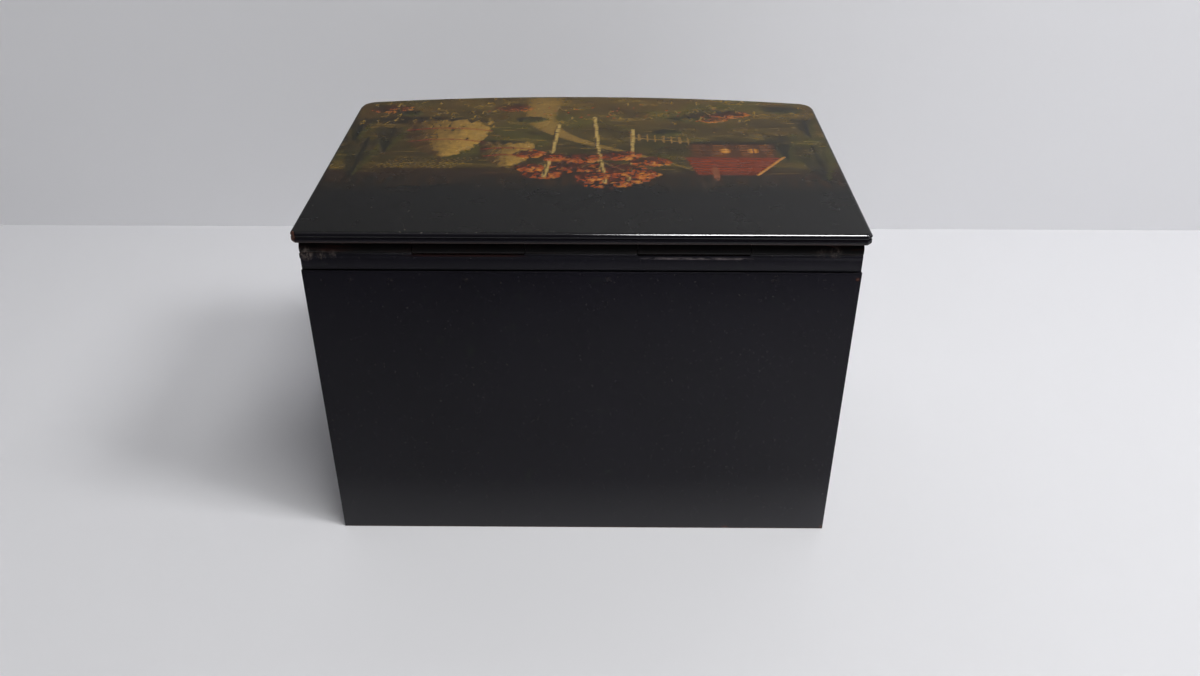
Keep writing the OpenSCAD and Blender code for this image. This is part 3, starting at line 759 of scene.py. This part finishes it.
for _ in range(110):
    x, y = hand.uniform(-108, 108), hand.uniform(-75, -40)
    for k in range(5):
        turn = 90 + hand.normal(0, 28)
        size = hand.uniform(2.0, 4.5)
        tip = (x + size * cos(radians(turn)), y + size * sin(radians(turn)))
        strokes([(x, y), tip], 0.35, tint(["#8a7436", "#5e4f1c", "#a48c4c", "#2e260c"][k % 4]), 0.4)
for _ in range(120):
    shade = tint(["#a8945a", "#8a3c16", "#8d6a2c"][hand.integers(3)])
    dab(hand.uniform(-105, 105), hand.uniform(-74, -6), 0.5, 0.35, hand.uniform(0, 180), shade, 0.7)
for _ in range(26):
    dab(hand.normal(-2, 22), hand.uniform(-66, -46), 0.8, 0.5, hand.uniform(0, 180), tint("#a8401c"), 0.85)

picture = np.zeros((len(lid.data.vertices), 4), np.float32)
picture[: canvas.shape[0] * canvas.shape[1], :3] = canvas.reshape(-1, 3)
picture[: canvas.shape[0] * canvas.shape[1], 3] = 1.0
layer = lid.data.color_attributes.new(name="picture", type="FLOAT_COLOR", domain="POINT")
layer.data.foreach_set("color", picture.ravel())


# What the varnish does to red, green and blue, and how far the lid's upright corners have rubbed
# through. Two are worse than the others.
YELLOWED = (1.3, 1.1, 0.75)
CORNER_WEAR = [((lid_high.x, lid_high.y), 0.0023), ((lid_low.x, lid_high.y), 0.0012),
               ((lid_high.x, lid_low.y + BOW), 0.0040), ((lid_low.x, lid_low.y + BOW), 0.0046)]


def away_xy(m, x, y, line):
    """Distance from an upright line."""
    dx = add(m, "Math SUBTRACT", x, line[0])
    dy = add(m, "Math SUBTRACT", y, line[1])
    return add(
        m, "Math SQRT", add(m, "Math ADD", add(m, "Math MULTIPLY", dx, dx), add(m, "Math MULTIPLY", dy, dy))
    )


def painted_lid():
    """Thin oil paint on the black lacquer, under varnish that has yellowed. The eye sees dim colours
    through a softer gloss than the walls', with fine crackle, brush ridges and a few losses.
    The edge has none of it: it's the walls' black, rubbed through to brown board at the corners."""
    m = blank("painted_lid_under_varnish")
    place = add(m, "TexCoord", out="Object")
    x, y, z = [add(m, "SeparateXYZ", place, out=axis) for axis in "XYZ"]
    painted = add(m, "VertexColor", layer_name="picture")
    painted = add(m, "VectorMath MULTIPLY", painted, YELLOWED)
    top = add(m, "MapRange", z, lid_high.z - 0.0002, lid_high.z - 0.00002)
    brush = add(
        m, "TexNoise", add(m, "Mapping", place, Scale=(0.35, 1.3, 1.0)), Scale=1000 / 1.3, Detail=4,
        Roughness=0.65,
    )
    colour = add(
        m, "Mix RGBA", 1.0, painted, add(m, "Mix RGBA", brush, linear("#8f8f8f"), linear("#ffffff")),
        blend_type="MULTIPLY",
    )
    # Crackle in patches, and specks where the paint is lost
    cells = add(m, "TexVoronoi", place, feature="DISTANCE_TO_EDGE", Scale=1000 / 2.4)
    crackle = add(m, "MapRange", cells, 0.012, 0.05, 1.0, 0.0)
    crackle = add(
        m, "Math MULTIPLY", crackle,
        add(m, "MapRange", add(m, "TexNoise", place, Scale=1000 / 26, Detail=3), 0.42, 0.62),
    )
    colour = add(m, "Mix RGBA", add(m, "Math MULTIPLY", crackle, 0.45), colour, linear("#0b0a09"))
    loss = add(m, "MapRange", add(m, "TexNoise", place, Scale=1000 / 1.1, Detail=1), 0.75, 0.80)
    colour = add(m, "Mix RGBA", add(m, "Math MULTIPLY", loss, 0.5), colour, linear("#8c8470"))
    # The edge, with brown board at the worn corners and the foot
    edge = add(
        m, "Mix RGBA", add(m, "TexNoise", place, Scale=1000 / 45, Detail=4), linear("#0e0d12"),
        linear("#151319"),
    )
    ragged = add(
        m, "Math MULTIPLY",
        add(m, "Math SUBTRACT", add(m, "TexNoise", place, Scale=1000 / 1.8, Detail=4, Roughness=0.6), 0.5),
        0.004,
    )
    worn = None
    for corner_place, size in CORNER_WEAR:
        away = add(m, "Math ADD", away_xy(m, x, y, corner_place), ragged)
        part = add(m, "MapRange", away, size - 0.0006, size, 1.0, 0.0)
        worn = part if worn is None else add(m, "Math MAXIMUM", worn, part)
    edge = add(
        m, "Mix RGBA", worn, edge,
        add(
            m, "Mix RGBA", add(m, "TexNoise", place, Scale=1000 / 1.5), linear("#7d4222"), linear("#3c1d12")
        ),
    )
    back_edge = within(m, y, flat_back - 0.0002, lid_high.y - 0.0007, 0.0002)
    nicks = add(
        m, "Math MULTIPLY", back_edge,
        add(m, "MapRange", add(m, "TexNoise", place, Scale=1000 / 1.0), 0.66, 0.74),
    )
    foot = add(
        m, "MapRange", add(m, "Math ADD", z, add(m, "Math MULTIPLY", ragged, 0.2)), lid_low.z + 0.0004,
        lid_low.z + 0.0009, 1.0, 0.0,
    )
    edge = add(m, "Mix RGBA", add(m, "Math MULTIPLY", foot, 0.3), edge, linear("#4a2a20"))
    colour = add(m, "Mix RGBA", top, edge, colour)
    colour = add(m, "Mix RGBA", add(m, "Math MULTIPLY", nicks, 0.5), colour, linear("#7d776e"))
    rough = add(m, "MapRange", add(m, "TexNoise", place, Scale=1000 / 14, Detail=4), 0.3, 0.7, 0.20, 0.30)
    rough = add(
        m, "Math ADD", add(m, "Math MULTIPLY", rough, top),
        add(m, "Math MULTIPLY", add(m, "Math SUBTRACT", 1.0, top), 0.09),
    )
    rough = add(m, "Math MAXIMUM", rough, add(m, "Math MULTIPLY", add(m, "Math MAXIMUM", worn, nicks), 0.5))
    height = add(
        m, "Math ADD", add(m, "TexNoise", place, Scale=1000 / 26),
        add(m, "Math MULTIPLY", add(m, "Math MULTIPLY", brush, top), 0.10),
    )
    height = add(m, "Math SUBTRACT", height, add(m, "Math MULTIPLY", crackle, 0.05))
    normal = add(m, "Bump", Height=height, Strength=0.35, Distance=0.00025)
    gloss = add(m, "MapRange", top, 0.0, 1.0, 0.9, 0.5)
    lacquer = add(
        m, "BsdfPrincipled", Base_Color=colour, Roughness=rough, Specular_IOR_Level=gloss,
        Normal=normal, IOR=1.5,
    )
    add(m, "OutputMaterial", Surface=lacquer)
    return m


lid.data.materials.append(painted_lid())
lid.data.materials.append(red)
# The underside is the lid's only face with many corners.
pick(lid, "FACE", lambda corners, normal: len(corners) > 8)
lid.active_material_index = 1
bpy.ops.object.material_slot_assign()
hook_low, hook_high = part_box("hook_plate")
cut(lid, block("hook_seat", (hook_low.x, hook_low.y, lid_low.z - PAST), hook_high))
deselect()
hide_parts("lid_plate")
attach(lid, "lid")


def lay_on(material, *names):
    """Gives nodes of the frame their material."""
    for name in names:
        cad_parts[name].data.materials.clear()
        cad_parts[name].data.materials.append(material)


# The lips under the lid: strips of board, one bent to the bow, glued on and lacquered red. They drop
# into the mouth of the box and keep the lid from shifting.
lay_on(red, "lid_lip_front", "lid_lip_left", "lid_lip_right")

# The hinge: two leaves of sheet tin rolled into knuckles and lacquered with the box, on a steel wire.
# The knuckles' ends have lost their lacquer. Under one knuckle the strip's edge carries a painted
# highlight, partly worn lacquer.
KNUCKLES = 5
KNUCKLE_GAP = 0.0003
BARREL_R = 0.0032
knuckle_pitch = (leaf_high.x - leaf_low.x + KNUCKLE_GAP) / KNUCKLES
barrel_y = leaf_high.y - BARREL_R
barrel_z = leaf_high.z - BARREL_R


def lacquered_tin(name):
    """Sheet tin under the same black lacquer, rubbed on the barrel by the lid. The eye sees a dull
    black roll in the lid's shade, a painted grey-brown sheen along its under side that is partly worn
    tin, and rust near the box's ends."""
    m = blank(name)
    place = add(m, "TexCoord", out="Object")
    x, y, z = [add(m, "SeparateXYZ", place, out=axis) for axis in "XYZ"]
    streak = add(
        m, "TexNoise", add(m, "Mapping", place, Scale=(0.12, 1.0, 1.0)), Scale=1000 / 2.2, Detail=3
    )
    colour = add(
        m, "Mix RGBA", add(m, "TexNoise", place, Scale=1000 / 12, Detail=3), linear("#0d0c0d"),
        linear("#151213"),
    )
    ends = add(m, "MapRange", add(m, "Math ABSOLUTE", x), 0.076, 0.100)
    rust = add(
        m, "Math MULTIPLY", add(m, "Math MAXIMUM", ends, 0.25), add(m, "MapRange", streak, 0.50, 0.66)
    )
    colour = add(m, "Mix RGBA", add(m, "Math MULTIPLY", rust, 0.7), colour, linear("#331710"))
    colour = rubbed_places(m, place, colour)
    # Painted sheen, partly worn tin: a grey-brown band along the barrel's under side
    under = within(m, z, barrel_z - BARREL_R + 0.0002, barrel_z - BARREL_R + 0.0012, 0.0003)
    under = add(
        m, "Math MULTIPLY", under,
        add(
            m, "MapRange", add(m, "TexNoise", place, Scale=1000 / 5, Detail=4, Roughness=0.65), 0.35, 0.6,
            0.15, 0.55,
        ),
    )
    colour = add(m, "Mix RGBA", under, colour, linear("#54453f"))
    lit = add(m, "MapRange", z, barrel_z - 0.0016, barrel_z - 0.0006, 1.0, 0.0)
    rough = add(m, "MapRange", lit, 0.0, 1.0, 0.5, 0.25)
    gloss = add(m, "MapRange", lit, 0.0, 1.0, 0.12, 0.5)
    normal = add(
        m, "Bump", Height=add(m, "TexNoise", place, Scale=1000 / 4, Detail=3), Strength=0.4, Distance=0.0002
    )
    lacquer = add(
        m, "BsdfPrincipled", Base_Color=colour, Roughness=rough, Specular_IOR_Level=gloss,
        Normal=normal, IOR=1.5,
    )
    add(m, "OutputMaterial", Surface=lacquer)
    return m


def bare_metal(name, light, dark, rough_low, rough_high, grain_mm):
    """Old metal with its shine dulled in patches. The eye sees a warm or grey sheen, darker in
    the patches, with fine file marks."""
    m = blank(name)
    place = add(m, "TexCoord", out="Object")
    patch = add(m, "TexNoise", place, Scale=1000 / 6, Detail=5, Roughness=0.6)
    colour = add(m, "Mix RGBA", add(m, "MapRange", patch, 0.35, 0.7), linear(light), linear(dark))
    rough = add(m, "MapRange", patch, 0.35, 0.7, rough_low, rough_high)
    grain = add(m, "TexNoise", add(m, "Mapping", place, Scale=(0.15, 1.0, 1.0)), Scale=1000 / grain_mm)
    normal = add(m, "Bump", Height=grain, Strength=0.25, Distance=0.00005)
    metal = add(m, "BsdfPrincipled", Base_Color=colour, Roughness=rough, Normal=normal, Metallic=1.0)
    add(m, "OutputMaterial", Surface=metal)
    return m


lay_on(lacquered_tin("lacquered_sheet_tin"), "hinge_leaf_body", "hinge_leaf_lid")
steel = bare_metal("drawn_steel_wire", "#a09d98", "#5c544c", 0.3, 0.55, 0.3)
lay_on(steel, "hinge_pin")
lay_on(bare_metal("dark_iron_nails", "#5a5048", "#33241c", 0.5, 0.75, 0.5), "lid_leaf_nails")
lay_on(black, "body_leaf_nails")

# The lock, its keyhole plate and the hook plate in the lid: cut from sheet brass, filed, and long
# since gone brown. The key's pin and the spring on the bolt are steel.
brass = bare_metal("aged_sheet_brass", "#b8954c", "#5f4520", 0.28, 0.5, 0.35)
lay_on(brass, "lock_plate", "lock_case", "lock_studs", "lock_bolt", "lock_screws")
lay_on(brass, "hook_plate", "hook_plate_screws", "keyhole_escutcheon", "escutcheon_pins")
lay_on(steel, "key_pin", "bolt_spring")

# The cover strip: a lath of board over the tin leaf, slightly rounded, lacquered with the wall.
# The lacquer fills the corner below the barrel, up to the box's own knuckles, and leaves the lid's
# room to turn.
FILL_DROP = 0.0017
FILL_R = 0.0007
OPEN_RISE = 0.0012
FIXED_PLAY, TURN_PLAY = 0.00003, 0.00025
STRIP_CUTS = 5
STRIP_GAP = 0.0009
strip = block("cover_strip", strip_low + Vector((0, 0, STRIP_GAP)), strip_high)
pick(strip, "EDGE", lambda ends: near(ends[0].x, ends[1].x) and near(ends[0].y, ends[1].y))
bpy.ops.mesh.subdivide(number_cuts=STRIP_CUTS)
bpy.ops.object.mode_set(mode="OBJECT")
crown = strip_high.y - back_y
strip_mid_z = (strip_low.z + strip_high.z) / 2
for v in strip.data.vertices:
    if v.co.y > back_y:
        share = (v.co.z - strip_mid_z) / (strip_high.z - strip_mid_z)
        v.co.y = back_y + crown * (1 - share * share)
strip.data.materials.append(black)
for i in range(KNUCKLES):
    left = leaf_low.x + i * knuckle_pitch
    turns = i % 2 == 1
    top_z = ledge_z + OPEN_RISE if turns else barrel_z - FILL_DROP
    low_corner = (left, strip_low.y + 0.0001, ledge_z - 0.0005)
    fill = block("fill", low_corner, (left + knuckle_pitch, back_y, top_z))
    if not turns:
        pick(fill, "EDGE", lambda ends: all(near(p.y, back_y) and p.z > ledge_z for p in ends))
        bpy.ops.mesh.bevel(offset=FILL_R, segments=4, affect="EDGES")
        bpy.ops.object.mode_set(mode="OBJECT")
    deselect()
    bpy.ops.mesh.primitive_cylinder_add(
        vertices=64, radius=BARREL_R + (TURN_PLAY if turns else FIXED_PLAY), depth=1.5 * knuckle_pitch,
        location=(left + knuckle_pitch / 2, barrel_y, barrel_z), rotation=(0, pi / 2, 0),
    )
    cut(fill, added("barrel_bed"))
    modify(strip, "BOOLEAN", operation="UNION", object=fill, solver="EXACT")
    bpy.data.objects.remove(fill)
rounded(strip, EDGE_R / 2, angle=30)
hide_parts("hinge_cover_strip")
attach(strip, "box")

# The floor and the wall behind: plain and pale. The wall shows only from its face. Seen in the lacquer,
# both carry painted shade, darker with distance and to the side away from the lamp, as in a room where
# only the table is lit. Seen straight on, both get a painted glow far from the lamps.
FLOOR_TONE = "#e2e2e5"
WALL_TONE = "#eeeef1"
ACROSS = 12
WALL_H = 0.8
GLOW_REACH = (0.8, 2.6)
SKY_SEEN = 0.45
WALL_Y = -0.234


def plain(name, tone, reflected_shade_of, one_sided):
    """Matt paper. The third argument gives the painted shade it shows in the lacquer, from its place. Far
    from the lamps a painted glow, seen only by the camera, fades it to the pale room. A one-sided sheet
    lets the camera look through its back."""
    m = blank(name)
    place = add(m, "TexCoord", out="Object")
    mirrored = add(m, "LightPath", out="Is Glossy Ray")
    seen = add(
        m, "Mix RGBA", reflected_shade_of(m, [add(m, "SeparateXYZ", place, out=axis) for axis in "XYZ"]),
        linear("#000000"), linear(tone),
    )
    shader = add(m, "BsdfDiffuse", Color=add(m, "Mix RGBA", mirrored, linear(tone), seen))
    # Painted glow: far from the lamps the sheet emits light to the camera, so it fades to the pale room
    # instead of going dark
    painted_far_glow = add(m, "MapRange", add(m, "VectorMath LENGTH", place), *GLOW_REACH, 0.0, SKY_SEEN)
    painted_far_glow = add(m, "Math MULTIPLY", painted_far_glow, add(m, "LightPath", out="Is Camera Ray"))
    painted_far_glow = add(m, "Emission", Color=(1, 1, 1, 1), Strength=painted_far_glow)
    shader = add(m, "AddShader", shader, painted_far_glow)
    if one_sided:
        behind = add(m, "NewGeometry", out="Backfacing")
        clear = add(m, "BsdfTransparent")
        shader = add(m, "MixShader", behind, shader, clear)
    add(m, "OutputMaterial", Surface=shader)
    return m


def floor_reflected_shade(m, axes):
    """Painted shade seen in the lacquer: falls off in steps away from the box, and to the side away from
    the lamp.
    """
    x, y, z = axes
    beyond = add(
        m, "Math MAXIMUM", add(m, "Math SUBTRACT", add(m, "Math ABSOLUTE", x), half_w),
        add(m, "Math SUBTRACT", add(m, "Math ABSOLUTE", y), back_y),
    )
    close = add(m, "MapRange", beyond, 0.0, 0.026, 1.0, 0.50)
    middle = add(m, "MapRange", beyond, 0.03, 0.30, 1.0, 0.60)
    far = add(m, "MapRange", beyond, 0.30, 0.70, 1.0, 0.05)
    side = add(m, "MapRange", x, -0.15, 0.15, 0.96, 0.66)
    return add(
        m, "Math MULTIPLY", add(m, "Math MULTIPLY", close, middle), add(m, "Math MULTIPLY", far, side)
    )


def wall_reflected_shade(m, axes):
    """Painted shade seen in the lacquer: falls off to the side away from the lamp."""
    return add(m, "MapRange", axes[0], -0.25, 0.22, 0.525, 0.29)


deselect()
bpy.ops.mesh.primitive_plane_add(size=ACROSS, location=(0, 0, 0))
floor = added("floor")
floor.data.materials.append(plain("floor_paper", FLOOR_TONE, floor_reflected_shade, False))
bpy.ops.mesh.primitive_plane_add(size=ACROSS, location=(0, WALL_Y, WALL_H / 2), rotation=(-pi / 2, 0, 0))
bpy.ops.transform.resize(value=(1, 1, WALL_H / ACROSS))
wall = added("backdrop")
wall.data.materials.append(plain("backdrop_paper", WALL_TONE, wall_reflected_shade, True))

# The light: a wide soft lamp above the camera, one at its right that throws the shadow to the left,
# one for the bright line on the lid's edge, and an even pale sky. The lacquer mirrors a dark room in
# the sky's place, lighter towards its ceiling.
LAMP_AIM = Vector((0, 0.02, 0.06))
SKY = 0.08
CEILING = (0.75, 0.95)
ROOM_MIRRORED = (0.03, 0.22)


def lamp(name, place, width, height, power):
    """A soft rectangular lamp aimed at the box."""
    deselect()
    bpy.ops.object.light_add(type="AREA", location=place)
    made = bpy.context.object
    made.name = name
    made.data.shape = "RECTANGLE"
    made.data.size = width
    made.data.size_y = height
    made.data.energy = power
    made.rotation_euler = (LAMP_AIM - Vector(place)).to_track_quat("-Z", "Y").to_euler()
    return made


lamp("top_lamp", (-0.24, 0.44, 1.10), 0.50, 0.22, 6.0)
lamp("side_lamp", (-1.30, 0.50, 1.62), 0.50, 0.50, 18.8)
lamp("glint_lamp", (-0.22, 0.44, 1.08), 0.32, 0.20, 7.0).visible_diffuse = False
world = bpy.data.worlds.new("pale_room")
bpy.context.scene.world = world
world.use_nodes = True
world.node_tree.nodes.clear()
height = add(world, "SeparateXYZ", add(world, "TexCoord", out="Generated"), out="Z")
mirrored = add(
    world, "Math MULTIPLY", add(world, "MapRange", height, *CEILING, *ROOM_MIRRORED),
    add(world, "LightPath", out="Is Glossy Ray"),
)
sky = add(
    world, "Math MAXIMUM", mirrored,
    add(world, "Math MULTIPLY", add(world, "LightPath", out="Is Camera Ray"), SKY_SEEN),
)
sky = add(
    world, "Math MAXIMUM", sky,
    add(world, "Math MULTIPLY", add(world, "LightPath", out="Is Diffuse Ray"), SKY),
)
add(world, "OutputWorld", Surface=add(world, "Background", Strength=sky, Color=(1, 1, 1, 1)))
bpy.context.scene.view_settings.view_transform = "Standard"

# The camera stands behind the box, above the hinge, and looks down at it. Its place and angles, in
# metres and degrees, and its lens in millimetres were fitted to the box's edges.
CAMERA_PLACE = (-0.00877, 0.43143, 0.33022)
CAMERA_PITCH, CAMERA_YAW, CAMERA_ROLL = 32.479, 0.316, -0.138
SENSOR_W = 36
LENS = 31.05
camera_data = bpy.data.cameras.new("camera")
camera_data.sensor_width = SENSOR_W
camera_data.lens = LENS
camera = bpy.data.objects.new("camera", camera_data)
bpy.context.scene.collection.objects.link(camera)
camera.location = CAMERA_PLACE
camera.rotation_mode = "XYZ"
camera.rotation_euler = (radians(90 - CAMERA_PITCH), radians(CAMERA_ROLL), radians(180 + CAMERA_YAW))
bpy.context.scene.camera = camera
